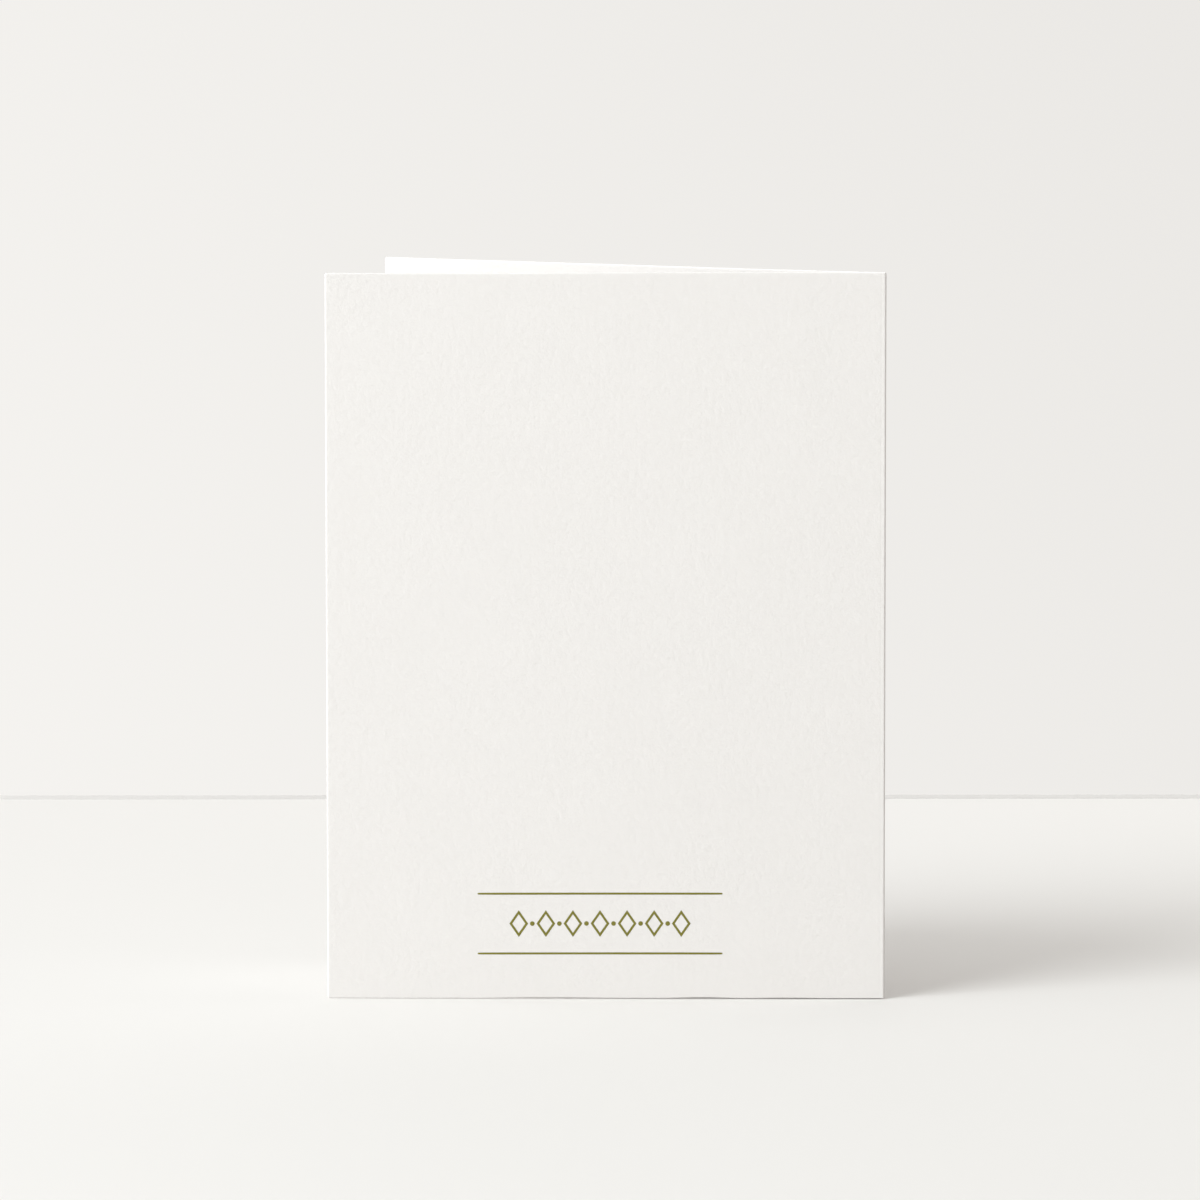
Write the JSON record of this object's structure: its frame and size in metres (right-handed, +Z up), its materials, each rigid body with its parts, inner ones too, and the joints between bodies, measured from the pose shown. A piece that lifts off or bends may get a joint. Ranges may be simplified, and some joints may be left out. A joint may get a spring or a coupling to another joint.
{
  "type": "greeting card",
  "caption": "Folded greeting card of textured white card stock, standing open on its bottom edges, with a small printed ornament at the foot of the back panel.",
  "frame": {"origin": "middle of the card's footprint, on the surface that it stands on", "axes": "+Z up along the fold, +X from the open edges towards the fold, +Y from the back panel towards the front cover"},
  "size_m": [0.1046, 0.046, 0.1397],
  "materials": {
    "card_stock": "uncoated, fine felt texture, warm white",
    "olive_ink": "matt olive ink printed on the sheet"
  },
  "bodies": {
    "root": {"card": "card_stock", "printed_ornament": "olive_ink"}
  },
  "joints": []
}
